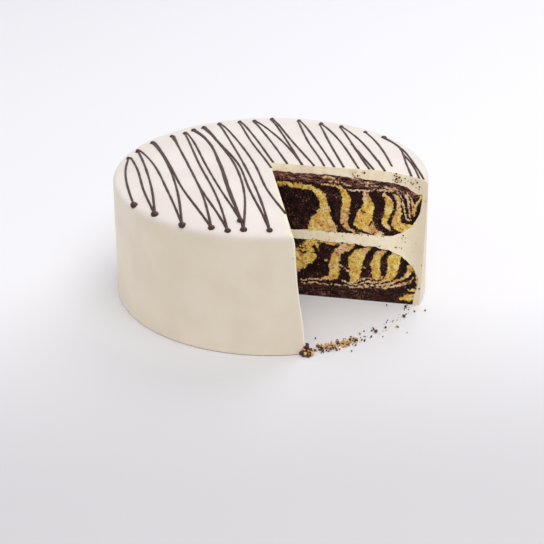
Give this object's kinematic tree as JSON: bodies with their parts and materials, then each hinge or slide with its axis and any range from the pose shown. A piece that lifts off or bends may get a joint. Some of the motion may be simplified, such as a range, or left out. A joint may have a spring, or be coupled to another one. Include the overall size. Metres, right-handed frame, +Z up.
{
  "type": "layer cake",
  "caption": "Round two-layer marbled cake with cream filling, pale frosting, a chocolate zigzag drizzle on top and one slice cut out.",
  "frame": {"origin": "the cake's axis at the level of its base", "axes": "+Z up the cake's axis; +Y away from the picture's viewer, +X to the viewer's right; the missing slice opens between azimuths -83 and -12 degrees, measured from +X towards +Y"},
  "size_m": [0.243, 0.243, 0.0996],
  "materials": {
    "sponge": "matt open crumb, cocoa and yellow stripes",
    "cream": "soft cream, satin",
    "frosting": "spread cream frosting, satin",
    "chocolate": "set dark chocolate, low gloss, for the drizzle on the frosting"
  },
  "bodies": {
    "root": {"sponge_lower": "sponge", "sponge_upper": "sponge", "filling": "cream", "frosting": "frosting"}
  },
  "joints": []
}
